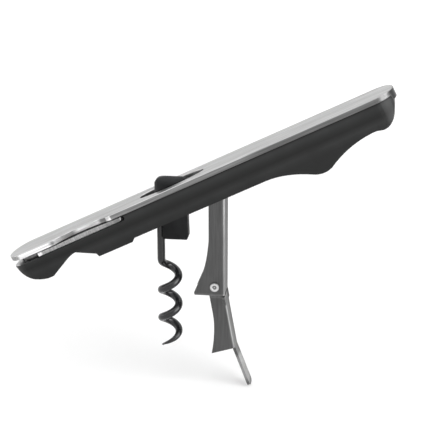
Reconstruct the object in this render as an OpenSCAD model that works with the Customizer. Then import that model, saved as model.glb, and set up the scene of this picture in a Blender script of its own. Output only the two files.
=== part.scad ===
// Push-pull lever corkscrew, open: worm upright, handle tilted, two-stage lever hanging.
// The Z axis is the worm's axis, and the height 0 is where the lever's toe seats.

/* [Handle] */
// Length of the handle from the worm's pivot to the blade end
front_l = 54; // [50:0.5:60]
// Length of the handle from the worm's pivot to the plain end
rear_l = 79.6; // [78:0.1:90]
// Width of the handle
handle_w = 13.4; // [13:0.1:16]
// Tilt of the handle with the tool set up for use
tilt = 26.4; // [15:0.2:35]
// Height of the plate's top above the worm's pivot
plate_top = 5.4; // [5.2:0.1:6.5]
// Thickness of the steel top plate
plate_t = 1.6; // [1.2:0.1:1.8]
// Corner radius of the plate's plain end
plain_end_r = 6.4; // [3:0.1:6.4]
// Depth of the fingernail scallop in the plate's edge
scallop_depth = 2.3; // [1:0.1:3]
// Length of the fingernail scallop
scallop_l = 20.5; // [12:0.5:24]
// Length of the slot over the carrier
slot_l = 22.4; // [21:0.2:26]
// Width of the slot over the carrier
slot_w = 7; // [6.6:0.1:8]
// Radius of the slot's round ends
slot_end_r = 2.2; // [1.5:0.1:2.5]
// Shift of the slot's middle from the carrier's middle, toward the plain end
slot_shift = 0.4; // [0:0.05:0.6]

/* [Grip] */
// Depth of the grip's plain lower edge below the worm's pivot
grip_low = 4.4; // [4:0.1:6]
// Thickness of the grip's side walls
grip_wall = 1.3; // [1:0.1:1.6]
// Thickness of the grip's roof behind the lever
roof_t = 1.2; // [0.8:0.1:1.3]
// Radius of the slight barrel of the grip's sides
barrel_r = 110; // [60:5:160]
// Depth of the lobe at the blade end below the worm's pivot
lobe_low = 5.4; // [5:0.1:7]
// Height of the finger notch's top below the worm's pivot
notch_low = 1.1; // [0.5:0.1:2]
// Depth of the pad between the finger notch and the carrier
pad_low = 5.4; // [5:0.1:7]
// Depth of the belly that hides the folded knuckle
belly_low = 9.3; // [7:0.1:11]
// Distance of the belly's lowest point from the worm's pivot
belly_u = 51; // [49:0.5:53]

/* [Worm and carrier] */
// Diameter of the worm's wire
wire_d = 2.5; // [2:0.1:2.6]
// Radius of the worm's helix at the middle of the wire
helix_r = 2.72; // [2.5:0.02:2.9]
// Pitch of the worm's helix
pitch = 9.6; // [8:0.1:10]
// Height at which the straight shank turns into the helix
helix_top = 10.5; // [10:0.1:13]
// Depth of the worm's point below the toe's seat
tip_low = 20.3; // [18:0.1:22]
// Distance of the worm's pivot from the worm's axis
pivot_off = 1.2; // [1:0.1:1.4]
// Thickness of the carrier block
carrier_t = 4.8; // [4:0.1:5]
// Reach of the carrier's head on the blade side of the worm's axis
carrier_left = 4.6; // [4.4:0.1:4.8]
// Reach of the carrier block on the lever side of the worm's axis
carrier_right = 6.1; // [5.8:0.1:6.6]
// Height of the carrier block's top above the worm's pivot
carrier_up = 9.3; // [8.5:0.1:9.4]
// Depth of the carrier block's foot below the worm's pivot
carrier_down = 10.7; // [10:0.1:11]
// Drop of the carrier's rounded head on the blade side
head_r = 2.6; // [1.5:0.1:3]
// Radius of the carrier's side hubs
hub_r = 2.3; // [2:0.1:2.6]
// Radius of the carrier's pivot pin
carrier_pin_r = 1.2; // [1:0.05:1.4]

/* [Hinge frame] */
// Thickness of the hinge frame's sheet
frame_t = 0.8; // [0.6:0.05:0.9]
// Distance of the lever's pivot from the worm's pivot along the handle
lever_u = 18.55; // [18:0.05:20]
// Depth of the lever's pivot below the worm's pivot line
lever_low = 0.4; // [0.2:0.05:0.6]

/* [Lever] */
// Thickness of the washers beside the upper lever
lever_washer_t = 0.15; // [0.1:0.05:0.4]
// Thickness of the lever's sheet
lever_t = 0.9; // [0.8:0.05:1.1]
// Radius of the lever's round heel
heel_r = 2.6; // [2.3:0.05:2.7]
// Distance from the lever's pivot down to the knuckle
knuckle_l = 33.4; // [32:0.1:36]
// Offset of the knuckle from the lever's pivot towards the worm
knuckle_off = 0.7; // [0.4:0.05:1]
// Reach of the toe towards the worm from the lever's pivot
toe_reach = 7.3; // [6.5:0.1:7.6]
// Depth of the toe's seat below the knuckle
toe_low = 2.9; // [2:0.05:3.2]
// Radius of the lever's pivot pin
lever_pin_r = 1.3; // [1.1:0.05:1.4]

/* [Foot] */
// Splay of the foot from the lever
foot_splay = 10.2; // [8:0.1:11]
// Length of the foot's flanges below the knuckle
foot_l = 21.8; // [19:0.1:23]
// Reach of the foot's flared toe from the knuckle
foot_reach = 5.2; // [3.5:0.1:5.4]
// Bend of the foot's tongue from its web
tongue_bend = 10.5; // [6:0.5:12]
// Length of the tongue
tongue_l = 14.4; // [10:0.1:15]
// Width of the tongue
tongue_w = 4.6; // [4:0.1:6]
// Radius of the knuckle rivet's shank
rivet_r = 1.05; // [0.9:0.05:1.1]
// Radius of the knuckle rivet's heads
rivet_head_r = 1.5; // [1.4:0.05:1.7]

/* [Blade] */
// Thickness of the foil blade
blade_t = 1.3; // [1:0.05:1.5]
// Width of the foil blade
blade_w = 7.4; // [6:0.1:7.6]
// Distance of the blade's pivot from the blade end
blade_in = 8; // [7.5:0.1:9]
// Distance of the blade's pivot from the handle's middle
blade_y = 2.2; // [1.8:0.05:2.4]
// Distance of the blade's tip from the worm's pivot
blade_tip_u = 12.9; // [12.7:0.1:16]
// Radius of the blade's round tang
tang_r = 3.2; // [2.8:0.05:3.3]
// Radius of the blade's pivot pin
blade_pin_r = 1.1; // [0.9:0.05:1.2]
// Radius of the blade's stop pin
stop_pin_r = 0.5; // [0.4:0.05:0.6]

/* [Hidden] */
$fn = 64;
// radial clearance of pins in their holes
pin_gap = 0.04;
// side clearance between pieces that slide on each other
side_gap = 0.05;
// clearance around pieces that pass each other
pass_gap = 0.15;
// overlap of cuts past the faces that they open
cut = 1;
big = 200;

// places of the pivots, from the seat of the lever's toe upwards
lever_bottom = knuckle_l + toe_low;
lever_z = lever_bottom;
pivot_x = -pivot_off;
pivot_h = lever_z - lever_u * sin(tilt) + lever_low * cos(tilt);
lever_x = pivot_x + lever_u * cos(tilt) + lever_low * sin(tilt);
knuckle_x = lever_x - knuckle_off;
knuckle_z = toe_low;

plate_bottom = plate_top - plate_t;
// lip of the plate, turned down over the grip's plain end
lip_t = 1;
lip_h = 1.5;
half_w = handle_w / 2;
channel_w = handle_w - 2 * grip_wall;
frame_w = channel_w - 2 * pass_gap;
frame_in = frame_w - 2 * frame_t;
lever_w = frame_in - 2 * (lever_washer_t + 2 * side_gap);
// radius of the slot's long sides, which run into its round ends
slot_end = slot_l / 2 - slot_end_r;
slot_r = (pow(slot_end, 2) + pow(slot_w / 2, 2) - pow(slot_end_r, 2)) / (slot_w - 2 * slot_end_r);
// the slot's middle, where the carrier's middle line passes through the plate
carrier_mid = (carrier_right - carrier_left) / 2 - pivot_x;
slot_u = carrier_mid / cos(tilt) + (plate_top + plate_bottom) / 2 * tan(tilt) + slot_shift;

// blade bay: plate, gap, blade, gap, liner, roof of the lobe
blade_gap = 0.3;
blade_top = plate_bottom - blade_gap;
blade_bottom = blade_top - blade_t;
liner_t = 0.25;
liner_top = blade_bottom - pass_gap / 2;
liner_bottom = liner_top - liner_t;
ledge = blade_bottom - pass_gap;
lobe_roof_t = 0.8;
lobe_in = liner_bottom - lobe_roof_t;
tip_gap = 1;
bay_r = (plate_bottom - ledge) / 2;
bay_end_u = blade_tip_u - tip_gap + bay_r;
scallop_gap = 3.3;
blade_u = front_l - blade_in;
lobe_l = 12.5;
lobe_u = front_l - lobe_l;
end_gap_l = 10.5;
end_gap_u = front_l - end_gap_l;
shoulder_u = 2.8;
stop_gap = 4.5;
stop_u = blade_u + stop_gap;
spine_in = 0.3;
spine_y = -half_w + spine_in;
bay_y = spine_y + blade_w + 2 * pass_gap;
bevel_start = 3;
bevel_angle = 18;
liner_in = 0.1;
// set-back of the lobe and its liner from the plate's tip
lobe_set = 0.9;

// channel of the grip and the hinge frame in it
end_wall = 3.5;
tail_wall = 7.9;
channel_front = front_l - end_wall;
channel_rear = rear_l - tail_wall;
frame_front = 10;
frame_rear = 26;
frame_window = 12.4;
window_gap = 0.6;
roof_bottom = plate_bottom - roof_t;
stud_r = 1;
stud_head_r = 2.2;
clip_t = 0.5;
frame_stud_u = 23.6;
roof_stud_u = 38;
tail_stud_in = 16.7;
grip_studs = [roof_stud_u, rear_l - tail_stud_in];
ear_r = 3.4;

// carrier and worm, measured from the worm's axis and the toe's seat
washer_t = 0.2;
hub_w = frame_in - 2 * (washer_t + 2 * side_gap);
shank_x = -helix_r;
socket_l = 7.4;
shank_top = pivot_h - carrier_down + socket_l;
cross_pin_r = 0.6;
cross_pin_in = 5.8;
// length and depth of the cut that bares the shank beside the carrier's foot
bare_l = 4.8;
bare_in = 0.9;
cross_pin_z = pivot_h - carrier_down + cross_pin_in;
wire_sides = 12;
turn_rings = 24;
lead_in = 2.9;
point_l = 7;
point_share = 0.12;

// lever and foot, measured from the lever's pivot and from the knuckle
lever_back = 2.5;
bend_r = 0.8;
web_gap = 0.2;
foot_w = lever_w - 2 * lever_t - 4 * side_gap;
foot_t = lever_t;
foot_back = 2.57;
foot_front = 2.4;
web_low = 0.5;
foot_web_top = toe_low + web_low;
tongue_root = 0.5;
shoulder_gap = 0.25;
shoulder_top = foot_web_top + shoulder_gap;
shoulder_l = 2.9;
foot_top_r = 2;
rivet_head_t = 0.45;
rivet_bore_r = 0.63;
spacer_wall = 0.7;

// Points of a curve from a to c that leaves and arrives along the lines to b
function bend(a, b, c, steps = 8) =
    [for (i = [0 : steps]) let (t = i / steps)
        (1 - t) * (1 - t) * a + 2 * t * (1 - t) * b + t * t * c];
// Points of a soft step between two points, level at both ends
function swell(a, b, steps = 12) =
    [for (i = [0 : steps]) let (t = i / steps)
        [a.x + (b.x - a.x) * t, a.y + (b.y - a.y) * (1 - cos(180 * t)) / 2]];

// Places a piece drawn along the handle: x along it, z square to the plate, worm's pivot at 0
module on_handle() {
    translate([pivot_x, 0, pivot_h]) rotate([0, -tilt, 0]) children();
}

// Places a piece drawn at the lever's pivot, hanging down
module on_lever() {
    translate([lever_x, 0, lever_z]) children();
}

// Places a piece drawn at the knuckle, hanging down along the foot
module on_foot() {
    translate([knuckle_x, 0, knuckle_z]) rotate([0, -foot_splay, 0]) children();
}

// Carries a side view across the width
module across(w) {
    rotate([90, 0, 0]) linear_extrude(w, center = true) children();
}

// A round bar across the handle
module cross_bar(r, w) {
    rotate([90, 0, 0]) cylinder(r = r, h = w, center = true);
}

// A ring across the handle
module cross_ring(r_out, r_in, w) {
    across(w) difference() {
        circle(r_out);
        circle(r_in);
    }
}

// Plan of the handle: round at the blade end, soft corners at the plain end
module handle_plan(inset = 0) {
    r = half_w - inset;
    translate([-front_l + half_w, 0]) circle(r);
    translate([-front_l + half_w, -r]) square([front_l + rear_l - half_w - plain_end_r, 2 * r]);
    for (side = [-1, 1])
        translate([rear_l - plain_end_r, side * (half_w - plain_end_r)]) circle(plain_end_r - inset);
    translate([0, -half_w + plain_end_r]) square([rear_l - inset, handle_w - 2 * plain_end_r]);
}

// Plan of the slot: long sides slightly bowed, round ends
module slot_plan() {
    meet = slot_end * slot_r / (slot_r - slot_end_r);
    translate([slot_u, 0]) {
        intersection() {
            translate([-meet, -slot_w]) square([2 * meet, 2 * slot_w]);
            translate([0, slot_r - slot_w / 2]) circle(slot_r);
            translate([0, slot_w / 2 - slot_r]) circle(slot_r);
        }
        for (side = [-1, 1]) translate([side * slot_end, 0]) circle(slot_end_r);
    }
}

// Plan of the fingernail scallop in the near edge
module scallop_plan() {
    scallop_r = (scallop_l * scallop_l / 4 + scallop_depth * scallop_depth) / (2 * scallop_depth);
    scallop_u = -(blade_tip_u + scallop_gap + scallop_l / 2);
    translate([scallop_u, -half_w + scallop_depth - scallop_r]) circle(scallop_r);
}

module top_plate() {
    color("silver") on_handle() {
        translate([0, 0, plate_bottom]) linear_extrude(plate_t) difference() {
            handle_plan();
            slot_plan();
            scallop_plan();
        }
        translate([0, 0, plate_bottom - lip_h]) linear_extrude(lip_h) intersection() {
            handle_plan();
            translate([rear_l - lip_t, -half_w]) square([lip_t, handle_w]);
        }
    }
}

// Studs under the plate, through the hinge frame and the grip's roof
module plate_studs() {
    color("silver") on_handle() {
        translate([frame_stud_u, 0, plate_bottom - frame_t - clip_t - side_gap])
            cylinder(r = stud_r, h = frame_t + clip_t + side_gap);
        for (u = grip_studs)
            translate([u, 0, roof_bottom - clip_t - side_gap])
                cylinder(r = stud_r, h = roof_t + clip_t + side_gap);
    }
}

// Push-on clips that hold the studs from below
module stud_clip() {
    difference() {
        cylinder(r = stud_head_r, h = clip_t);
        translate([0, 0, -cut]) cylinder(r = stud_r + pin_gap, h = clip_t + 2 * cut);
    }
}

module stud_clips() {
    color("dimgray") on_handle() {
        translate([frame_stud_u, 0, plate_bottom - frame_t - clip_t]) stud_clip();
        for (u = grip_studs) translate([u, 0, roof_bottom - clip_t]) stud_clip();
    }
}

// Side view of the grip: lobe, finger notch, pad, plain edge, belly and end lobe
module grip_side() {
    lobe_tip = 0.5;
    lobe_bend = [4, 4.45];
    lobe_round = 10.2;
    lobe_flat = 12.1;
    notch_in = 18;
    notch_in_low = 2.5;
    notch_out = 22.4;
    notch_round = 1.6;
    pad_in = 28.4;
    notch_rise = [-front_l + notch_in, -notch_in_low];
    notch_u = -front_l + notch_out;
    pad_start = -front_l + pad_in;
    pad_end = -13.2;
    pad_rise = 1.2;
    pad_round = 0.4;
    belly_start = 33.5;
    belly_slope = 7;
    belly_round = [2.8, 0.6];
    tail_low = 3.8;
    tail_l = 9;
    tail_flat = 1.6;
    tail_lip = [1.9, 0.5];
    tail_round = 2.6;
    tail_bend = [2.3, 3.8];
    tail_u = rear_l - tail_l;
    lip_low = -tail_low - tail_lip.y;
    flank_u = (belly_u + tail_u) / 2;
    belly_in = [belly_u - belly_round.x, -belly_low + belly_round.y];
    belly_out = [belly_u + belly_round.x, -belly_low + belly_round.y];
    end_rise = 1.9;
    rear_end = rear_l - lip_t - side_gap;
    polygon(concat(
        [[-front_l + lobe_set, plate_bottom]],
        bend([-front_l + lobe_set, liner_bottom - lobe_tip], [-front_l + lobe_bend.x, -lobe_bend.y],
             [-front_l + lobe_round, -lobe_low]),
        [[-front_l + lobe_flat, -lobe_low]],
        bend(notch_rise, [notch_u - notch_round, -notch_low], [notch_u, -notch_low]),
        [[pad_start, -pad_low + pad_rise], [pad_start + pad_round, -pad_low], [pad_end, -pad_low],
         [pad_end + pad_rise, -grip_low]],
        bend([belly_start, -grip_low], [belly_start + belly_slope, -grip_low], belly_in),
        bend(belly_in, [belly_u, -belly_low - belly_round.y], belly_out),
        bend(belly_out, [flank_u, -tail_low - belly_round.y], [tail_u - tail_flat, -tail_low]),
        [[tail_u, -tail_low], [tail_u + tail_lip.x, lip_low]],
        bend([tail_u + tail_round, lip_low], [rear_l - tail_bend.x, -tail_bend.y],
             [rear_end, plate_bottom - end_rise]),
        [[rear_end, plate_bottom]]));
}

// Slight barrel of the grip's sides, seen along the handle
module grip_section() {
    intersection_for (side = [-1, 1])
        translate([side * (barrel_r - half_w), 0]) circle(barrel_r, $fn = 180);
}

module grip_body() {
    color("#2b2c2d") on_handle() difference() {
        intersection() {
            across(handle_w + cut) grip_side();
            translate([0, 0, -big / 2]) linear_extrude(big) handle_plan();
            translate([-big / 2, 0, 0]) rotate([90, 0, 90]) linear_extrude(big) grip_section();
        }
        // channel for the worm and the lever, open below
        translate([-channel_front, -channel_w / 2, -big])
            cube([channel_front - lobe_u, channel_w, big + lobe_in]);
        translate([-lobe_u - cut, -channel_w / 2, -big])
            cube([lobe_u + cut + frame_rear, channel_w, big + plate_top]);
        translate([frame_rear - cut, -channel_w / 2, -big])
            cube([channel_rear - frame_rear + cut, channel_w, big + roof_bottom]);
        // bay for the blade, open on the near side and through the blade end
        translate([-front_l - cut, -handle_w, ledge])
            cube([front_l + cut - bay_end_u, handle_w + bay_y, plate_top]);
        translate([-bay_end_u, -handle_w, ledge + bay_r]) rotate([-90, 0, 0])
            cylinder(r = bay_r, h = handle_w + bay_y);
        translate([-front_l - cut, -handle_w, liner_bottom])
            cube([front_l + cut - end_gap_u, 2 * handle_w, plate_top]);
        // holes for the blade's pins and the plate's studs
        translate([-blade_u, -blade_y, 0]) cylinder(r = blade_pin_r + pin_gap, h = plate_top);
        translate([-stop_u, -blade_y, 0]) cylinder(r = stop_pin_r + pin_gap, h = plate_top);
        for (u = grip_studs) translate([u, 0, 0]) cylinder(r = stud_r + pin_gap, h = plate_top);
    }
}

// Side view of the hinge frame's ears
module frame_side() {
    translate([-frame_front, plate_bottom - frame_t])
        square([frame_front + frame_rear - pass_gap, frame_t]);
    for (hinge = [[0, 0], [lever_u, -lever_low]]) {
        translate(hinge) circle(ear_r);
        translate([hinge.x - ear_r, hinge.y]) square([2 * ear_r, plate_bottom - hinge.y]);
    }
}

// Bent steel frame under the plate that carries both hinge pins
module hinge_frame() {
    color("gray") on_handle() difference() {
        across(frame_w) frame_side();
        translate([-big / 2, -frame_in / 2, -big]) cube([big, frame_in, big + plate_bottom - frame_t]);
        translate([-big / 2, -carrier_t / 2 - window_gap, 0])
            cube([big / 2 + frame_window, carrier_t + 2 * window_gap, plate_top]);
        cross_bar(carrier_pin_r + pin_gap, handle_w);
        translate([lever_u, 0, -lever_low]) cross_bar(lever_pin_r + pin_gap, handle_w);
        translate([frame_stud_u, 0, 0]) cylinder(r = stud_r + pin_gap, h = plate_top);
    }
}

// Plan of the foil blade, closed: round tang, shoulder, straight back, swept edge
module blade_plan() {
    edge_y = spine_y + blade_w;
    tip_round = 1.5;
    tip_rise = 1.2;
    sweep_in = 6;
    sweep_l = 14;
    heel_l = 1.5;
    heel_in = 1.6;
    heel_u = -blade_u + shoulder_u;
    tip = [-blade_tip_u, spine_y + tip_rise];
    translate([-blade_u, -blade_y]) circle(tang_r);
    polygon(concat(
        [[-blade_u, -blade_y], [heel_u, spine_y]],
        bend([-blade_tip_u - tip_round, spine_y], [-blade_tip_u, spine_y], tip),
        bend(tip, [-blade_tip_u - sweep_in, edge_y], [-blade_tip_u - sweep_l, edge_y]),
        [[heel_u + 2 * heel_l, edge_y], [heel_u + heel_l, edge_y - heel_in],
         [-blade_u, -blade_y + tang_r]]));
}

module foil_blade() {
    color("lightgray") on_handle() difference() {
        translate([0, 0, blade_bottom]) linear_extrude(blade_t) blade_plan();
        translate([-blade_u, -blade_y, 0]) cylinder(r = blade_pin_r + pin_gap, h = plate_top);
        // ground bevel along the cutting edge
        translate([-blade_u + shoulder_u + bevel_start, spine_y + blade_w, blade_bottom])
            rotate([bevel_angle, 0, 0]) translate([0, -blade_w / 2, -blade_t]) cube([big, blade_w, blade_t]);
    }
}

// Thin steel liner under the blade's tang
module blade_liner() {
    color("silver") on_handle() translate([0, 0, liner_bottom]) linear_extrude(liner_t) difference() {
        intersection() {
            handle_plan(liner_in);
            translate([-front_l + lobe_set, -half_w])
                square([end_gap_l - lobe_set - pass_gap, handle_w]);
        }
        translate([-blade_u, -blade_y]) circle(blade_pin_r + pin_gap);
        translate([-stop_u, -blade_y]) circle(stop_pin_r + pin_gap);
    }
}

module blade_pivot_pin() {
    color("silver") on_handle() translate([-blade_u, -blade_y, lobe_in])
        cylinder(r = blade_pin_r, h = plate_bottom - lobe_in);
}

module blade_stop_pin() {
    color("silver") on_handle() translate([-stop_u, -blade_y, lobe_in])
        cylinder(r = stop_pin_r, h = plate_bottom - lobe_in);
}

// Side view of the carrier block, seen from the pivot
module carrier_side() {
    left = -carrier_left - pivot_x;
    right = carrier_right - pivot_x;
    low_r = 0.6;
    top_r = 1;
    lean = 0.7;
    head_l = 5.6;
    top_right = right - lean;
    polygon(concat(
        bend([left, carrier_up - head_r], [left, carrier_up], [left + head_l, carrier_up]),
        bend([top_right - top_r, carrier_up], [top_right, carrier_up], [top_right, carrier_up - top_r]),
        bend([right, -carrier_down + low_r], [right, -carrier_down], [right - low_r, -carrier_down], 4),
        bend([left + low_r, -carrier_down], [left, -carrier_down], [left, -carrier_down + low_r], 4)));
}

// Plan of the carrier block, round on the worm's side
module carrier_plan() {
    round_x = -carrier_left - pivot_x + carrier_t / 2;
    translate([round_x, 0]) circle(carrier_t / 2);
    translate([round_x, -carrier_t / 2]) square([big, carrier_t]);
}

// Section of the carrier block seen along the handle, round on top
module carrier_section() {
    translate([0, carrier_up - carrier_t / 2]) circle(carrier_t / 2);
    translate([-carrier_t / 2, carrier_up - carrier_t / 2 - big]) square([carrier_t, big]);
}

// Rocking block on the worm's pivot; its round head stands through the plate's slot
module worm_carrier() {
    color("#242526") difference() {
        translate([pivot_x, 0, pivot_h]) {
            intersection() {
                across(carrier_t) carrier_side();
                translate([0, 0, -big / 2]) linear_extrude(big) carrier_plan();
                translate([-big / 2, 0, 0]) rotate([90, 0, 90]) linear_extrude(big) carrier_section();
            }
            cross_bar(hub_r, hub_w);
        }
        translate([pivot_x, 0, pivot_h]) cross_bar(carrier_pin_r + pin_gap, handle_w);
        translate([shank_x, 0, pivot_h - carrier_down - cut])
            cylinder(r = wire_d / 2 + pin_gap, h = shank_top - pivot_h + carrier_down + cut);
        translate([shank_x, 0, cross_pin_z]) cross_bar(cross_pin_r + pin_gap, handle_w);
        translate([shank_x + bare_in - big, -handle_w / 2, pivot_h - carrier_down - cut])
            cube([big, handle_w, bare_l + cut]);
    }
}

// Middle line of the worm: shank, a lead-in that bends into the helix, and the helix
helix_l = helix_top + tip_low;
helix_turns = helix_l / pitch;
helix_rings = ceil(helix_turns * turn_rings);
function smooth(t) = t <= 0 ? 0 : t >= 1 ? 1 : t * t * (3 - 2 * t);
function wound(down) = down < lead_in ? down * down / (2 * lead_in) : down - lead_in / 2;
function worm_point(down) = let (turn = 180 - 360 / pitch * wound(down))
    [helix_r * cos(turn), helix_r * sin(turn), helix_top - down];
worm_line = concat([[shank_x, 0, shank_top - pass_gap], [shank_x, 0, helix_top + wire_d / 3]],
                   [for (i = [0 : helix_rings]) worm_point(helix_l * i / helix_rings)]);
worm_count = len(worm_line);
function worm_radius(i) = let (left = worm_line[i].z + tip_low)
    wire_d / 2 * (point_share + (1 - point_share) * smooth(left / point_l));
function unit(v) = v / norm(v);
function worm_dir(i) = unit(worm_line[min(i + 1, worm_count - 1)] - worm_line[max(i - 1, 0)]);
function worm_ring(i) =
    let (d = worm_dir(i), a = unit(cross(d, [0, 1, 0.01])), b = cross(d, a), r = worm_radius(i))
    [for (k = [0 : wire_sides - 1]) let (angle = 360 * k / wire_sides)
        worm_line[i] + r * (a * cos(angle) + b * sin(angle))];

// Least gap between turns of the worm, measured on the points of its middle line
worm_gap = min([for (i = [0 : 2 : worm_count - 1])
    for (j = [i + floor(turn_rings * 3 / 4) : 2 : worm_count - 1])
        norm(worm_line[i] - worm_line[j])]) - wire_d;
echo(least_gap_of_worm_to_itself_mm = worm_gap);

module worm() {
    points = [for (i = [0 : worm_count - 1]) each worm_ring(i)];
    last = (worm_count - 1) * wire_sides;
    faces = concat(
        [for (i = [0 : worm_count - 2]) for (k = [0 : wire_sides - 1]) let (n = (k + 1) % wire_sides)
            each [[i * wire_sides + k, i * wire_sides + n, (i + 1) * wire_sides + k],
                  [i * wire_sides + n, (i + 1) * wire_sides + n, (i + 1) * wire_sides + k]]],
        [for (k = [1 : wire_sides - 2]) [0, k + 1, k]],
        [for (k = [1 : wire_sides - 2]) [last, last + k, last + k + 1]]);
    color("#1f1f20") difference() {
        polyhedron(points, faces);
        translate([shank_x, 0, cross_pin_z]) cross_bar(cross_pin_r + pin_gap, handle_w);
    }
}

// Pin across the carrier that holds the worm's shank
module worm_cross_pin() {
    color("dimgray") translate([shank_x, 0, cross_pin_z]) cross_bar(cross_pin_r, carrier_t);
}

module carrier_pivot_pin() {
    color("silver") on_handle() cross_bar(carrier_pin_r, frame_w);
}

module carrier_washers() {
    color("silver") on_handle() for (side = [-1, 1])
        translate([0, side * (hub_w + washer_t + 2 * side_gap) / 2, 0])
            cross_ring(hub_r, carrier_pin_r + pin_gap, washer_t);
}

// Side view of the upper lever's flanges, seen from its pivot
module lever_side() {
    front = -heel_r;
    flare_top = 15.8;
    flare_mid = [0.45, 8.6];
    flare_low = [2.2, 3.9];
    toe_face = 0.8;
    toe_round = 0.2;
    circle(heel_r);
    polygon(concat(
        [[lever_back, 0], [front, 0]],
        bend([front, -knuckle_l + flare_top], [front - flare_mid.x, -knuckle_l + flare_mid.y],
             [front - flare_low.x, -knuckle_l + flare_low.y]),
        [[-toe_reach, -lever_bottom + toe_face], [-toe_reach + toe_round, -lever_bottom],
         [lever_back, -lever_bottom]]));
}

// Outer section of a bent channel seen along it, round at the two bends
module channel_section(back, w) {
    translate([-big, -w / 2]) square([big + back - bend_r, w]);
    translate([-big, -w / 2 + bend_r]) square([big + back, w - 2 * bend_r]);
    for (side = [-1, 1]) translate([back - bend_r, side * (w / 2 - bend_r)]) circle(bend_r);
}

module upper_lever() {
    color("gray") on_lever() difference() {
        intersection() {
            across(lever_w) lever_side();
            translate([0, 0, -big / 2]) linear_extrude(big) channel_section(lever_back, lever_w);
        }
        translate([-big + lever_back - lever_t, -lever_w / 2 + lever_t, -big / 2])
            cube([big, lever_w - 2 * lever_t, big]);
        // the web ends above the foot's web
        translate([0, -lever_w / 2 + lever_t, -big - knuckle_l - web_gap])
            cube([big, lever_w - 2 * lever_t, big]);
        cross_bar(lever_pin_r + pin_gap, handle_w);
        translate([-knuckle_off, 0, -knuckle_l]) cross_bar(rivet_r + pin_gap, handle_w);
    }
}

module lever_pivot_pin() {
    color("silver") on_lever() cross_bar(lever_pin_r, frame_w);
}

module lever_washers() {
    color("silver") on_lever() for (side = [-1, 1])
        translate([0, side * (frame_in + lever_w) / 4, 0])
            cross_ring(heel_r, lever_pin_r + pin_gap, lever_washer_t);
}

// Side view of the foot's flanges, seen from the knuckle
module foot_side() {
    shoulder = 0.5;
    waist = 0.1;
    waist_z = -foot_l / 2;
    flare = [0.6, 4.8];
    toe_drop = 1;
    circle(foot_top_r);
    polygon(concat(
        [[foot_back, -foot_web_top], [foot_top_r, -shoulder], [-foot_top_r, 0]],
        bend([-foot_front, -foot_top_r], [-foot_front + waist, waist_z / 2], [-foot_front, waist_z]),
        bend([-foot_front, waist_z], [-foot_front - flare.x, -foot_l + flare.y],
             [-foot_reach, -foot_l - toe_drop]),
        [[foot_back, -foot_l]]));
}

// Second stage of the lever: a short channel with stop shoulders, a flared toe and a bent tongue
module lever_foot() {
    color("gray") on_foot() difference() {
        union() {
            intersection() {
                across(foot_w) foot_side();
                translate([0, 0, -big / 2]) linear_extrude(big) channel_section(foot_back, foot_w);
            }
            translate([foot_back - foot_t, -lever_w / 2, -shoulder_top - shoulder_l])
                cube([foot_t, lever_w, shoulder_l]);
            translate([foot_back, 0, -foot_l]) rotate([0, -tongue_bend, 0])
                translate([-foot_t, 0, -tongue_l]) rotate([0, 90, 0]) linear_extrude(foot_t) {
                    translate([-tongue_l - tongue_root, -tongue_w / 2])
                        square([tongue_l + tongue_root - tongue_w / 2, tongue_w]);
                    translate([-tongue_w / 2, 0]) circle(tongue_w / 2);
                }
        }
        translate([-big + foot_back - foot_t, -foot_w / 2 + foot_t, -big / 2])
            cube([big, foot_w - 2 * foot_t, big]);
        translate([foot_back - foot_t - cut, -foot_w / 2 + foot_t, -foot_web_top - side_gap])
            cube([big, foot_w - 2 * foot_t, big]);
        cross_bar(rivet_r + pin_gap, handle_w);
    }
}

// Tubular rivet of the knuckle, with a ring-shaped head on each side
module knuckle_rivet() {
    color("lightgray") translate([knuckle_x, 0, knuckle_z]) difference() {
        union() {
            cross_bar(rivet_r, lever_w + rivet_head_t);
            for (side = [-1, 1]) translate([0, side * (lever_w + rivet_head_t) / 2, 0])
                cross_bar(rivet_head_r, rivet_head_t);
        }
        for (side = [-1, 1]) translate([0, side * (lever_w / 2 + rivet_head_t), 0])
            cross_bar(rivet_bore_r, 2 * rivet_head_t);
    }
}

// Tube that keeps the foot's flanges apart on the rivet
module knuckle_spacer() {
    color("gray") translate([knuckle_x, 0, knuckle_z])
        cross_ring(rivet_r + spacer_wall, rivet_r + pin_gap, foot_w - 2 * foot_t - 2 * side_gap);
}

top_plate();
plate_studs();
stud_clips();
grip_body();
hinge_frame();
foil_blade();
blade_liner();
blade_pivot_pin();
blade_stop_pin();
worm_carrier();
worm();
worm_cross_pin();
carrier_pivot_pin();
carrier_washers();
upper_lever();
lever_pivot_pin();
lever_washers();
lever_foot();
knuckle_rivet();
knuckle_spacer();
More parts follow.
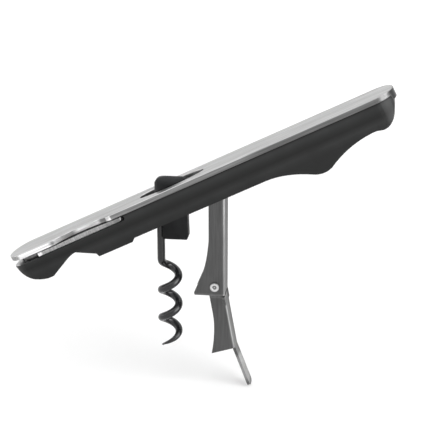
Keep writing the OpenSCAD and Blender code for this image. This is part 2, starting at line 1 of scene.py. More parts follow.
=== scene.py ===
import math
import bmesh
import bpy
import numpy as np
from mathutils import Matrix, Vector


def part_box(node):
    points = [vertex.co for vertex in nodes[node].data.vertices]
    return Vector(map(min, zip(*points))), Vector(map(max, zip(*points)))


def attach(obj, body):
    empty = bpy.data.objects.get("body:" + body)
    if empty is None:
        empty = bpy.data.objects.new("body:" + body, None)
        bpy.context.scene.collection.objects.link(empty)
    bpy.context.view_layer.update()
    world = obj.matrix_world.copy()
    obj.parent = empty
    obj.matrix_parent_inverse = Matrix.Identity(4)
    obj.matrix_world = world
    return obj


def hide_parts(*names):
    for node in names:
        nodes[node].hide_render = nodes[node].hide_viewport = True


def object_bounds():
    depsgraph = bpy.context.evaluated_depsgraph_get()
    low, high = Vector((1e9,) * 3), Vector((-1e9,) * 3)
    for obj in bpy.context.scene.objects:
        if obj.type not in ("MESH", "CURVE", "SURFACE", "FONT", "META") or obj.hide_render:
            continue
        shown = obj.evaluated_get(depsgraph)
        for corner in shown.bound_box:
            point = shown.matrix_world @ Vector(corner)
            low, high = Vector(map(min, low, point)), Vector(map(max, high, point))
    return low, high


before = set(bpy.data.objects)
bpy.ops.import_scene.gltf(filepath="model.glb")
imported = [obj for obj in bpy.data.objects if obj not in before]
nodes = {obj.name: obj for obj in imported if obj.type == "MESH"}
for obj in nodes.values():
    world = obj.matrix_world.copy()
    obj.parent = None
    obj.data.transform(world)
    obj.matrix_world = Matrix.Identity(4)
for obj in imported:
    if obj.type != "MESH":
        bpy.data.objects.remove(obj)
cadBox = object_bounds()
scene = bpy.context.scene
mm = 0.001  # sizes of pieces are written in millimetres, the scene is in metres

# the handle's frame: u along it, y across, n square to the plate, turned about Y at the worm's pivot;
# handleStart is how far the pivot, where u is 0, lies along it from the origin
handle = dict(tilt=math.radians(26.4), pivotX=-1.2, pivotZ=28.4102)
handleStart = handle["pivotX"] * math.cos(handle["tilt"]) + handle["pivotZ"] * math.sin(handle["tilt"])
knuckle = dict(x=14.893, z=2.9)  # the axis between lever and foot
print("stage 1: frame loaded,", len(nodes), "nodes")


# a fresh material, its node tree and its main shader
def newMaterial(name):
    mat = bpy.data.materials.new(name)
    mat.use_nodes = True
    tree = mat.node_tree
    return mat, tree, tree.nodes["Principled BSDF"]


# one node of a kind, with its settings
def addNode(tree, kind, **settings):
    node = tree.nodes.new(kind)
    for key, value in settings.items():
        setattr(node, key, value)
    return node


# a level as a grey of three equal channels
def grey(level):
    return (level,) * 3


# object coordinates or normals, turned about Y so that X runs along the piece, then stretched
def turnedCoords(tree, turn=0.0, scale=(1, 1, 1), kind="Object"):
    coords = addNode(tree, "ShaderNodeTexCoord")
    turned = addNode(tree, "ShaderNodeMapping")
    turned.inputs["Rotation"].default_value = (0, turn, 0)
    stretched = addNode(tree, "ShaderNodeMapping")
    stretched.inputs["Scale"].default_value = scale
    tree.links.new(coords.outputs[kind], turned.inputs["Vector"])
    tree.links.new(turned.outputs["Vector"], stretched.inputs["Vector"])
    return stretched.outputs["Vector"]


# a vector's x, y and z
def splitAxes(tree, vector):
    split = addNode(tree, "ShaderNodeSeparateXYZ")
    tree.links.new(vector, split.inputs[0])
    return split.outputs


# how long a vector is
def lengthOf(tree, vector):
    node = addNode(tree, "ShaderNodeVectorMath", operation="LENGTH")
    tree.links.new(vector, node.inputs[0])
    return node.outputs["Value"]


# layered noise at a vector times a scale, from 0 to 1 and mostly near a half
def noiseOn(tree, vector, scale=1.0, detail=3.0, rough=0.55):
    noise = addNode(tree, "ShaderNodeTexNoise")
    noise.inputs["Scale"].default_value = scale
    noise.inputs["Detail"].default_value = detail
    noise.inputs["Roughness"].default_value = rough
    tree.links.new(vector, noise.inputs["Vector"])
    return noise.outputs["Fac"]


# a value's range, by default the one that noise fills, carried over to low to high and held at both ends
def spread(tree, value, low, high, fromLow=0.3, fromHigh=0.7):
    node = addNode(tree, "ShaderNodeMapRange")
    for key, level in zip(("From Min", "From Max", "To Min", "To Max"), (fromLow, fromHigh, low, high)):
        node.inputs[key].default_value = level
    tree.links.new(value, node.inputs["Value"])
    return node.outputs["Result"]


# noise carried over to a middle value, less or more by a reach
def around(tree, noise, middle, reach):
    return spread(tree, noise, middle - reach, middle + reach)


# one operation on one or two values, each a socket or a number
def maths(tree, operation, first, second=None):
    node = addNode(tree, "ShaderNodeMath", operation=operation)
    for socket, value in zip(node.inputs, (first, second)):
        if isinstance(value, (int, float)):
            socket.default_value = value
        elif value is not None:
            tree.links.new(value, socket)
    return node.outputs[0]


# grey levels at stops along a value, straight lines between them
def levelsAlong(tree, value, stops):
    ramp = addNode(tree, "ShaderNodeValToRGB")
    band = ramp.color_ramp
    while len(band.elements) < len(stops):
        band.elements.new(0.5)  # each gets its own place below
    for element, (place, level) in zip(band.elements, stops):
        element.position = place
        element.color = (*grey(level), 1)
    tree.links.new(value, ramp.inputs["Fac"])
    return ramp.outputs["Color"]


# the first colour where the factor is 0, the second where it is 1, and a straight mix between
def mixColors(tree, factor, first, second):
    node = addNode(tree, "ShaderNodeMix", data_type="RGBA")
    for socket, color in ((node.inputs[6], first), (node.inputs[7], second)):  # the colour sockets A and B
        if isinstance(color, tuple):
            socket.default_value = (*color, 1)
        else:
            tree.links.new(color, socket)
    tree.links.new(factor, node.inputs["Factor"])
    return node.outputs[2]


# a colour times a factor
def timesColor(tree, color, factor):
    node = addNode(tree, "ShaderNodeVectorMath", operation="SCALE")
    tree.links.new(color, node.inputs[0])
    tree.links.new(factor, node.inputs["Scale"])
    return node.outputs[0]


# the surface's normal, tipped by the slope of a height
def bumpFrom(tree, height, strength, distance):
    bump = addNode(tree, "ShaderNodeBump")
    bump.inputs["Strength"].default_value = strength
    bump.inputs["Distance"].default_value = distance
    tree.links.new(height, bump.inputs["Height"])
    return bump.outputs["Normal"]


# levels of painted light and shade along the share of the height between two given heights
def paintedLightByHeight(tree, place, look):
    share = spread(tree, place[2], 0, 1, *(z * mm for z in look["heights"]))
    return levelsAlong(tree, share, look["heightPaintedLight"])


# place along the handle between two u, as 0 to 1
def alongShare(tree, place, ends):
    return spread(tree, place[0], 0, 1, *((u + handleStart) * mm for u in ends))


# brushed steel: a level from the piece's own rule, which paints light and shade on the plate, sheets, strips
# and rivet, times long streaks, times soft clouds; roughness goes by the clouds and the bump by the streaks
def brushedSteel(name, look, levels):
    mat, tree, shader = newMaterial(name)
    streaks = noiseOn(tree, turnedCoords(tree, look["turn"], look["stretch"]), 1.0, *look["streakNoise"])
    clouds = noiseOn(tree, turnedCoords(tree, look["turn"], look["cloudStretch"]), 1.0, *look["cloudNoise"])
    tone = timesColor(tree, levels(tree, look), around(tree, streaks, 1, look["streak"]))
    tone = timesColor(tree, tone, around(tree, clouds, 1, look["cloud"]))
    tree.links.new(tone, shader.inputs["Base Color"])
    tree.links.new(around(tree, clouds, look["rough"], look["roughReach"]), shader.inputs["Roughness"])
    tree.links.new(bumpFrom(tree, streaks, look["bump"], look["bumpDeep"]), shader.inputs["Normal"])
    shader.inputs["Metallic"].default_value = 1.0
    shader.inputs["Specular Tint"].default_value = (*grey(look["grazing"]), 1)
    return mat


# moulded or coated black: a mix of two tones by soft mottling, times a band of painted light and shade by
# height; roughness and bump go by a fine grain
def satinBlack(name, look):
    mat, tree, shader = newMaterial(name)
    vector = turnedCoords(tree, look["turn"])
    grain = noiseOn(tree, vector, look["grain"], look["grainDetail"])
    mottle = noiseOn(tree, vector, look["mottle"], look["mottleDetail"])
    tone = mixColors(tree, spread(tree, mottle, 0, 1), look["dark"], look["light"])
    tone = timesColor(tree, tone, paintedLightByHeight(tree, splitAxes(tree, vector), look))
    tree.links.new(tone, shader.inputs["Base Color"])
    tree.links.new(around(tree, grain, look["rough"], look["roughReach"]), shader.inputs["Roughness"])
    tree.links.new(bumpFrom(tree, grain, look["bump"], look["bumpDeep"]), shader.inputs["Normal"])
    shader.inputs["Specular IOR Level"].default_value = look["specular"]
    return mat


# frame and pins: a level by soft noise
def evenLevel(tree, look):
    noise = noiseOn(tree, turnedCoords(tree, look["turn"]), look["evenScale"])
    return levelsAlong(tree, noise, look["levels"])


# strips under the plate: a level by the place along the handle, with light and shade painted in
def stripPaintedLight(tree, look):
    place = splitAxes(tree, turnedCoords(tree, look["turn"]))
    return levelsAlong(tree, alongShare(tree, place, look["ends"]), look["levels"])


# plate: its wall by the way it faces, as painted light and shade; on the near side by the place along the
# scallop, as painted highlights and shade; then the rounded edge by how far it faces up, as a painted
# highlight; all of that dimmer towards the plain end, as painted shade; then the flat top in its own grey
def platePaintedLight(tree, look):
    facing = splitAxes(tree, turnedCoords(tree, look["turn"], kind="Normal"))
    place = splitAxes(tree, turnedCoords(tree, look["turn"]))
    wall = levelsAlong(tree, spread(tree, facing[0], 0, 1, -1, 1), look["wallPaintedLight"])
    nearShare = alongShare(tree, place, look["nearEnds"])
    beforeEnd = maths(tree, "LESS_THAN", nearShare, look["nearLast"])
    atNear = maths(tree, "MULTIPLY", beforeEnd, maths(tree, "LESS_THAN", facing[1], 0))
    wall = mixColors(tree, atNear, wall, levelsAlong(tree, nearShare, look["nearPaintedLight"]))
    wall = mixColors(tree, spread(tree, facing[2], 0, 1, *look["edgeFacing"]), wall, grey(look["edge"]))
    dim = levelsAlong(tree, alongShare(tree, place, look["dimEnds"]), look["dimPaintedShade"])
    wall = timesColor(tree, wall, dim)
    return mixColors(tree, spread(tree, facing[2], 0, 1, *look["topFacing"]), wall, grey(look["top"]))


# bent sheet: flanks by how far they face sideways, as a painted bright line at the bend and painted shade on
# the flat flanks; a painted highlight at the cut front edges; painted shade within the far half; times a band
# of painted light by height, and held under a highest level
def sheetPaintedLight(tree, look):
    facing = splitAxes(tree, turnedCoords(tree, kind="Normal"))
    place = splitAxes(tree, turnedCoords(tree))
    flank = levelsAlong(tree, maths(tree, "ABSOLUTE", facing[1]), look["flankPaintedLight"])
    level = mixColors(tree, spread(tree, facing[0], 1, 0, *look["edgeFacing"]), flank, grey(look["edge"]))
    within = spread(tree, place[1], 1, look["farPaintedShade"], *(y * mm for y in look["farFrom"]))
    outside = spread(tree, facing[1], 0, 1, *look["farFacing"])
    level = timesColor(tree, level, maths(tree, "MAXIMUM", within, outside))
    held = addNode(tree, "ShaderNodeVectorMath", operation="MINIMUM")
    tree.links.new(timesColor(tree, level, paintedLightByHeight(tree, place, look)), held.inputs[0])
    held.inputs[1].default_value = grey(look["most"])
    return held.outputs[0]


# rivet: a level by the distance from its axis, as a share of the head's radius; painted shade at the dimple's
# edge and the rim, and a painted highlight on the head's top
def rivetPaintedLight(tree, look):
    offset = addNode(tree, "ShaderNodeVectorMath", operation="SUBTRACT")
    tree.links.new(turnedCoords(tree, scale=(1, 0, 1)), offset.inputs[0])
    offset.inputs[1].default_value = (knuckle["x"] * mm, 0, knuckle["z"] * mm)
    share = spread(tree, lengthOf(tree, offset.outputs[0]), 0, 1, 0, look["radius"] * mm)
    return levelsAlong(tree, share, look["levels"])


# what all brushed steel shares, and all black; noise is given as detail and roughness
alongHandle = handle["tilt"]
steelBase = dict(turn=alongHandle, streakNoise=(4.0, 0.6), cloudStretch=(90, 160, 160), cloud=0.06,
                 cloudNoise=(2.0, 0.55), roughReach=0.05, bumpDeep=0.00002, grazing=1.0, evenScale=300.0)
blackBase = dict(turn=0.0, grainDetail=3.0, mottle=120.0, mottleDetail=2.0, roughReach=0.06, bumpDeep=0.00003)

# one look for each finish: levels are pairs of a share from 0 to 1 and a grey
# plate: the wall, the near side, the rounded edge and the dimming towards the plain end are painted light and
# shade
plateLook = dict(
    steelBase, stretch=(60, 2200, 2200), streak=0.3, cloudStretch=(30, 420, 420), cloud=0.22,
    rough=0.36, bump=0.35, top=0.41, topFacing=(0.75, 0.97), edge=0.52, edgeFacing=(0.1, 0.45),
    dimEnds=(0, 40), dimPaintedShade=((0.0, 0.95), (0.3, 0.88), (0.9, 0.6)),
    nearEnds=(-54, -16), nearLast=0.999,
    nearPaintedLight=((0.0, 0.23), (0.108, 0.34), (0.13, 0.92), (0.408, 0.92), (0.442, 0.32), (0.63, 0.24),
                (0.684, 0.74), (0.87, 0.64), (0.905, 0.2), (0.95, 0.2), (0.96, 0.78), (0.994, 0.78)),
    wallPaintedLight=((0.0, 0.24), (0.3, 0.7), (0.44, 0.58), (0.495, 0.215), (0.66, 0.185),
                (0.7, 0.25), (0.88, 0.22), (0.95, 0.07), (1.0, 0.05)))
# lever: a painted bright line at the bend, painted highlights at the front edge and along the lowest edge,
# and painted shade on the far flank
leverLook = dict(
    steelBase, turn=math.pi / 2, stretch=(90, 2600, 2600), streak=0.16, rough=0.42, bump=0.3, grazing=0.45,
    edge=0.6, edgeFacing=(-0.8, -0.4), farPaintedShade=0.3, farFrom=(0.5, 2.5), farFacing=(0.3, 0.7), most=0.58,
    flankPaintedLight=((0.0, 0.27), (0.4, 0.3), (0.62, 0.42), (0.84, 0.19), (0.965, 0.098), (1.0, 0.088)),
    heights=(0, 40), heightPaintedLight=((0.0, 1.5), (0.01, 1.4), (0.02, 1.0), (0.8, 1.0), (1.0, 1.0)))
# foot: the tongue lighter as a painted highlight, a painted shadow under the lever's lower edge and a painted
# highlight line just below it
footLook = dict(
    leverLook, heights=(-32, 0),
    heightPaintedLight=((0.0, 0.9), (0.05, 1.6), (0.12, 3.5), (0.3, 3.0), (0.36, 1.1), (0.96, 1.0),
                  (0.97, 1.4), (0.984, 1.3), (0.99, 0.5), (1.0, 0.4)))
# blade: a painted shadow over the tang, a painted highlight at the spine's left end and painted shade towards
# its right end
bladeLook = dict(
    steelBase, stretch=(2600, 700, 700), streak=0.4, rough=0.38, bump=0.4, ends=(-54, -12),
    levels=((0.0, 0.13), (0.245, 0.13), (0.257, 0.78), (0.286, 0.72), (0.3, 0.36), (0.8, 0.34), (0.97, 0.16)))
# liner: its tip light as a painted highlight, painted shadow on the rest
linerLook = dict(
    steelBase, stretch=(200, 900, 900), streak=0.1, rough=0.42, bump=0.2, ends=(-53.1, -43.6),
    levels=((0.0, 0.65), (0.2, 0.65), (0.3, 0.065), (1.0, 0.05)))
frameLook = dict(
    steelBase, stretch=(200, 900, 900), streak=0.1, rough=0.45, bump=0.2, levels=((0.3, 0.24), (0.7, 0.33)))
pinLook = dict(
    steelBase, turn=0.0, stretch=(700, 700, 700), streak=0.08, rough=0.3, bump=0.15,
    levels=((0.3, 0.48), (0.7, 0.6)))
# rivet: rings of painted shade at the dimple's edge and the rim, and of painted highlight on the head's top
rivetLook = dict(
    pinLook, radius=1.5,
    levels=((0.0, 0.38), (0.14, 0.33), (0.24, 0.13), (0.4, 0.15), (0.5, 0.56), (0.84, 0.5), (0.95, 0.18)))
# grip: the band by height paints lighter and darker bands along its side as painted light and shade, and a
# painted shadow under the plate's edge
gripLook = dict(
    blackBase, turn=alongHandle, grain=5200.0, rough=0.42, bump=0.12, specular=0.29,
    dark=(0.006, 0.0063, 0.0063), light=(0.01, 0.0104, 0.0104), heights=(16.5, 29.9),
    heightPaintedLight=((0.0, 0.7), (0.4, 0.7), (0.56, 1.5), (0.7, 0.1), (0.78, 0.6), (0.9, 1.8),
                  (0.95, 1.4), (0.97, 0.2)))
# carrier: lighter towards the top of its head, as painted light
carrierLook = dict(
    blackBase, grain=4200.0, rough=0.55, bump=0.12, specular=0.13,
    dark=(0.009, 0.0095, 0.01), light=(0.015, 0.0155, 0.016),
    heights=(17, 38), heightPaintedLight=((0.0, 0.9), (0.7, 1.0), (0.9, 1.5), (1.0, 2.0)))
# worm: a little lighter around the middle of its height, as painted light
wormLook = dict(
    blackBase, grain=3000.0, rough=0.24, bump=0.08, specular=0.5,
    dark=(0.004, 0.004, 0.0046), light=(0.008, 0.008, 0.009),
    heights=(-20, 25), heightPaintedLight=((0.0, 1.0), (0.5, 1.2), (1.0, 1.0)))

plateSteel = brushedSteel("plateSteel", plateLook, platePaintedLight)
leverSteel = brushedSteel("leverSteel", leverLook, sheetPaintedLight)
footSteel = brushedSteel("footSteel", footLook, sheetPaintedLight)
bladeSteel = brushedSteel("bladeSteel", bladeLook, stripPaintedLight)
linerSteel = brushedSteel("linerSteel", linerLook, stripPaintedLight)
frameSteel = brushedSteel("frameSteel", frameLook, evenLevel)
pinSteel = brushedSteel("pinSteel", pinLook, evenLevel)
rivetSteel = brushedSteel("rivetSteel", rivetLook, rivetPaintedLight)
gripBlack = satinBlack("gripBlack", gripLook)
carrierBlack = satinBlack("carrierBlack", carrierLook)
wormBlack = satinBlack("wormBlack", wormLook)

finishOf = dict(
    top_plate=plateSteel, plate_studs=pinSteel, stud_clips=frameSteel, grip_body=gripBlack,
    hinge_frame=frameSteel, foil_blade=bladeSteel, blade_liner=linerSteel, blade_pivot_pin=pinSteel,
    blade_stop_pin=pinSteel, worm_carrier=carrierBlack, worm=wormBlack, worm_cross_pin=carrierBlack,
    carrier_pivot_pin=pinSteel, carrier_washers=frameSteel, upper_lever=leverSteel, lever_pivot_pin=pinSteel,
    lever_washers=frameSteel, lever_foot=footSteel, knuckle_rivet=rivetSteel, knuckle_spacer=frameSteel)
for name, mat in finishOf.items():
    nodes[name].data.materials.clear()
    nodes[name].data.materials.append(mat)
print("stage 2: finishes on", len(finishOf), "nodes")


# a mesh from a grid of points: quads between neighbours, closed around the columns, and either round the rows
# or by a lid at each end; all faces are turned over where they look towards the middle
def meshFromGrid(name, grid, mat, ringed=False):
    rows, cols = grid.shape[:2]
    index = np.arange(rows * cols).reshape(rows, cols)
    after = np.roll(index, -1, axis=0)
    start, end = (index, after) if ringed else (index[:-1], after[:-1])
    quads = np.stack([start, np.roll(start, -1, axis=1), np.roll(end, -1, axis=1), end], -1).reshape(-1, 4)
    points = grid.reshape(-1, 3)
    a, b, c, d = (points[quads[:, k]] for k in range(4))
    inward = np.einsum("ij,ij->", np.cross(c - a, d - b), (a + b + c + d) / 4 - points.mean(0)) < 0
    order = -1 if inward else 1
    lids = [] if ringed else [index[0, ::-order].tolist(), index[-1, ::order].tolist()]
    mesh = bpy.data.meshes.new(name)
    mesh.from_pydata(points.tolist(), [], quads[:, ::order].tolist() + lids)
    mesh.shade_smooth()
    mesh.materials.append(mat)
    return mesh


# an object at the origin that rides a body and stands for a node
def addPiece(name, mesh, body, node):
    piece = bpy.data.objects.new(name, mesh)
    scene.collection.objects.link(piece)
    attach(piece, body)
    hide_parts(node)
    return piece


# points given along the handle, turned by its tilt and set at the worm's pivot
def onHandle(points):
    u, y, n = np.moveaxis(points, -1, 0)
    sine, cosine = math.sin(handle["tilt"]), math.cos(handle["tilt"])
    x = handle["pivotX"] + u * cosine - n * sine
    z = handle["pivotZ"] + u * sine + n * cosine
    return np.stack([x, y, z], -1) * mm


# rows of vectors, each divided by its length
def unit(vectors):
    return vectors / np.linalg.norm(vectors, axis=1, keepdims=True)


# a share from 0 to 1 eased at both ends: three times its square less twice its cube
def eased(share):
    return share**2 * (3 - 2 * share)


# evenly spaced angles of a whole turn
def roundAngles(count):
    return np.linspace(0, 2 * math.pi, count, endpoint=False)


wormSizes = dict(wire=2.5, radius=2.72, pitch=9.6, helixTop=10.5, tipLow=20.3, leadIn=2.9, pointLength=7.0,
                 pointShare=0.12, shankTop=24.96, shankGap=0.1, beside=(0, 1, 0.01),
                 shankRings=24, helixRings=260, sides=28)


# worm: a circle of the wire carried down the shank and round the helix. The turn grows with the square of the
# depth in the lead-in and evenly below it, and the wire thins to a point by an eased share of the height left
def buildWorm(size):
    coil, top, leadIn = size["radius"], size["helixTop"], size["leadIn"]
    down = np.linspace(0, top + size["tipLow"], size["helixRings"])
    wound = np.where(down < leadIn, down**2 / (2 * leadIn), down - leadIn / 2)
    turn = math.pi - 2 * math.pi / size["pitch"] * wound
    helix = np.stack([coil * np.cos(turn), coil * np.sin(turn), top - down], -1)
    heights = np.linspace(size["shankTop"], top + size["shankGap"], size["shankRings"])
    shank = np.stack([np.full_like(heights, -coil), np.zeros_like(heights), heights], -1)
    line = np.concatenate([shank, helix])
    along = unit(np.gradient(line, axis=0))
    side = unit(np.cross(along, size["beside"]))
    other = np.cross(along, side)
    left = np.clip((line[:, 2] + size["tipLow"]) / size["pointLength"], 0, 1)
    radius = size["wire"] / 2 * (size["pointShare"] + (1 - size["pointShare"]) * eased(left))
    angle = roundAngles(size["sides"])
    ring = np.cos(angle)[None, :, None] * side[:, None] + np.sin(angle)[None, :, None] * other[:, None]
    return (line[:, None] + radius[:, None, None] * ring) * mm


wormMesh = meshFromGrid("wormTube", buildWorm(wormSizes), wormBlack)
addPiece("wormTube", wormMesh, "worm_unit", "worm")
print("stage 3: worm")

# counts of points go round the plan; belt, topRing and the lip's last four keep rows of faces apart
plateSizes = dict(front=54.0, rear=79.6, half=6.7, endRadius=6.4, top=5.4, thick=1.6, scallopDeep=2.3,
                  scallopLong=20.5, scallopAt=-26.45, slotAt=4.86, slotLong=22.4, slotWide=7.0, slotEnd=2.2,
                  round=0.25, lowRound=0.1, steps=6, belt=0.1, topRing=0.12, shelf=0.4,
                  midNarrow=3.3, midWide=5.2, midFrom=-14.0, midTo=-9.0,
                  lipThick=1.0, lipHigh=1.5, lipClear=0.02, lipFacing=0.5, lipShare=0.5, lipRound=0.9,
                  endPoints=72, frontPoints=30, scallopPoints=60, nearPoints=180, cornerPoints=40,
                  farPoints=240)


# points of an arc, without its last point unless kept
def arc(center, radius, start, end, count, keep=False):
    angle = np.linspace(start, end, count, endpoint=keep)
    return np.stack([center[0] + radius * np.cos(angle), center[1] + radius * np.sin(angle)], -1)


# points of a straight line, without its last point
def straight(start, end, count):
    return np.linspace(start, end, count, endpoint=False)


# plan, anticlockwise: round blade end, near edge with the scallop's arc, plain end with two corners, far edge
def platePlan(size):
    half, corner, quarter = size["half"], size["endRadius"], math.pi / 2
    left, right, cornerY = -size["front"] + half, size["rear"] - corner, half - corner
    scallop, deep, reach = size["scallopAt"], size["scallopDeep"], size["scallopLong"] / 2
    bow = (reach**2 + deep**2) / (2 * deep)
    swing = math.asin(reach / bow)
    return np.concatenate([
        arc((left, 0), half, quarter, 3 * quarter, size["endPoints"]),
        straight((left, -half), (scallop - reach, -half), size["frontPoints"]),
        arc((scallop, -half + deep - bow), bow, quarter + swing, quarter - swing, size["scallopPoints"]),
        straight((scallop + reach, -half), (right, -half), size["nearPoints"]),
        arc((right, -cornerY), corner, -quarter, 0, size["cornerPoints"], True),
        arc((right, cornerY), corner, 0, quarter, size["cornerPoints"]),
        straight((right, half), (left, half), size["farPoints"])])


# a line inside the plan, clear of the scallop: the plan with straight sides, drawn in to a share that widens
# by an eased step beside the slot
def midBeside(plan, size):
    u, y = plan[:, 0], plan[:, 1]
    share = np.clip((u - size["midFrom"]) / (size["midTo"] - size["midFrom"]), 0, 1)
    share = (size["midNarrow"] + (size["midWide"] - size["midNarrow"]) * eased(share)) / size["half"]
    between = np.clip(u, -size["front"] + size["half"], size["rear"] - size["endRadius"])
    sideY = np.where((u == between) & (y < 0), -size["half"], y)
    return np.stack([between + (u - between) * share, sideY * share], -1)


# the slot's rim beside each point of a line: bowed sides straight across from it, round ends by the angle at
# which it is seen from their middle
def slotBeside(line, size):
    away, side = line[:, 0] - size["slotAt"], np.sign(line[:, 1])
    end, wide = size["slotEnd"], size["slotWide"] / 2
    endAt = size["slotLong"] / 2 - end
    bow = (endAt**2 + wide**2 - end**2) / (2 * (wide - end))
    meet = endAt * bow / (bow - end)
    seen = np.arctan2(np.abs(line[:, 1]), np.abs(away) - endAt)
    angle = seen * math.acos((meet - endAt) / end) / math.atan2(size["midWide"], meet - endAt)
    inside = np.abs(away) <= meet
    bowY = np.sqrt(bow**2 - np.where(inside, away, 0)**2) - bow + wide
    u = np.where(inside, away, np.sign(away) * (endAt + end * np.cos(angle)))
    y = side * np.where(inside, bowY, end * np.sin(angle))
    return np.stack([size["slotAt"] + u, y], -1)


# unit normals of a closed anticlockwise line, pointing out of it: square to the mean of the two directions
# that meet at a point
def outOf(line):
    before, after = line - np.roll(line, 1, axis=0), np.roll(line, -1, axis=0) - line
    along = unit(unit(before) + unit(after))
    return np.stack([along[:, 1], -along[:, 0]], -1)


# plate: one section at each point of the plan, from the outer wall over the rounded edge and the top to the
# slot's wall, and back below by the shelf and the lip; the rounded edges are quarter circles
def buildPlate(size):
    plan = platePlan(size)
    mid = midBeside(plan, size)
    slot = slotBeside(mid, size)
    planOut, slotOut = outOf(plan), outOf(slot)
    ones = np.ones(len(plan))
    top, bottom, belt = size["top"], size["top"] - size["thick"], size["belt"]

    # the plan drawn in by an inset, at a height
    def ofPlan(inset, height):
        return np.column_stack([plan - planOut * (inset * ones)[:, None], height * ones])

    # the slot's rim widened by an inset, at a height
    def ofSlot(inset, height):
        return np.column_stack([slot + slotOut * (inset * ones)[:, None], height * ones])

    # the line between the two, at a height
    def ofMid(height):
        return np.column_stack([mid, height * ones])

    lipStart = size["rear"] - size["lipThick"]
    lipped = plan[:, 0] > lipStart + size["lipClear"]
    drop = np.where(lipped, size["lipHigh"], 0)
    lipDeep = (plan[:, 0] - lipStart) / np.maximum(planOut[:, 0], size["lipFacing"])
    shelf = np.where(lipped, lipDeep, size["shelf"])
    inner = np.maximum(shelf - size["lipClear"], size["lipShare"] * shelf)
    bend = np.linspace(0, math.pi / 2, size["steps"] + 1)
    r, f = size["round"], size["lowRound"]
    high = [(r - r * math.cos(t), top - r + r * math.sin(t)) for t in bend]
    low = [(f - f * math.cos(t), f - f * math.sin(t)) for t in bend[::2]]
    lowInset = np.minimum(1, size["lipRound"] * inner / f)
    rows = [ofPlan(0, bottom + f + belt - drop), ofPlan(0, top - r - belt)]
    rows += [ofPlan(inset, height) for inset, height in high]
    rows += [ofPlan(r + size["topRing"], top), ofMid(top), ofSlot(r + size["topRing"], top)]
    rows += [ofSlot(inset, height) for inset, height in high[::-1]]
    rows += [ofSlot(0, top - r - belt), ofSlot(0, bottom + f + belt)]
    rows += [ofSlot(inset, bottom + height) for inset, height in low]
    rows += [ofMid(bottom), ofPlan(shelf, bottom), ofPlan(inner, bottom - drop)]
    rows += [ofPlan(inset * lowInset, bottom + height - drop) for inset, height in low[::-1]]
    return onHandle(np.stack(rows, axis=1))


plateMesh = meshFromGrid("plateSkin", buildPlate(plateSizes), plateSteel, ringed=True)
addPiece("plateSkin", plateMesh, "handle", "top_plate")
print("stage 4: plate")

rivetSizes = dict(shank=1.05, head=1.5, headHigh=0.45, dimple=0.62, dimpleDeep=0.36, dimpleFlat=0.8,
                  dimpleRise=0.08, middle=0.02, under=0.01, round=0.2, sides=56, steps=5)


# rivet: a profile turned about the knuckle's axis, from the near dimple's middle over the head's rounded rim
# and along the shank, and on to the far side by mirror
def buildRivet(size, sheetY):
    bend = np.linspace(0, math.pi / 2, size["steps"])
    top, r, dimple = size["headHigh"], size["round"], size["dimple"]
    floor = top - size["dimpleDeep"]
    start = [(size["middle"], floor), (dimple * size["dimpleFlat"], floor),
             (dimple, floor + size["dimpleRise"])]
    inner = np.stack([dimple + r - r * np.cos(bend), top - r + r * np.sin(bend)], -1)
    outer = np.stack([size["head"] - r + r * np.sin(bend), top - r + r * np.cos(bend)], -1)
    half = np.concatenate([start, inner, outer, [(size["head"], 0.0), (size["shank"], -size["under"])]])
    near = np.stack([half[:, 0], -sheetY - half[:, 1]], -1)
    line = np.concatenate([near, near[::-1] * (1, -1)])
    angle = roundAngles(size["sides"])
    radius = line[:, :1]
    return np.stack([knuckle["x"] + radius * np.cos(angle), line[:, 1:] + 0 * angle,
                     knuckle["z"] + radius * np.sin(angle)], -1) * mm


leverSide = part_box("upper_lever")[1][1] / mm
rivetMesh = meshFromGrid("rivetTurned", buildRivet(rivetSizes, leverSide), rivetSteel)
addPiece("rivetTurned", rivetMesh, "lever", "knuckle_rivet")
print("stage 5: rivet")


# upper lever: points at the top of the notch under its web go down to a new height, so that the web closes
# to the foot
def lowerWeb(points, size):
    high = points[:, 2].copy()
    points[:, 2] = np.where(np.abs(high - size["notchTop"]) < size["reach"], size["notchTo"], high)
    return points


# x and z turned about Y by an angle
def turnedBack(x, z, angle):
    return x * math.cos(angle) + z * math.sin(angle), z * math.cos(angle) - x * math.sin(angle)


# foot: in the tongue's own frame its round end becomes a rounded square within the same length: one less a
# power of the share across, to one over that power
def squareTongue(points, size):
    x, y = points[:, 0] - knuckle["x"], points[:, 1]
    x, low = turnedBack(x, points[:, 2] - knuckle["z"], size["splay"])
    x, low = turnedBack(x - size["rootX"], low - size["rootZ"], size["bend"])
    start = size["half"] - size["long"]
    share = np.clip(1 - np.abs(y / size["half"])**size["square"], 0, 1)**(1 / size["square"])
    low = np.where(low < start - size["clear"], start - size["half"] * share, low)
    x, low = turnedBack(x, low, -size["bend"])
    x, low = turnedBack(x + size["rootX"], low + size["rootZ"], -size["splay"])
    return np.stack([x + knuckle["x"], y, low + knuckle["z"]], -1)


# one value of all items of a mesh as an array
def valuesOf(items, key, width=1, kind=np.float32):
    flat = np.empty(len(items) * width, kind)
    items.foreach_get(key, flat)
    return flat.reshape(-1, width) if width > 1 else flat


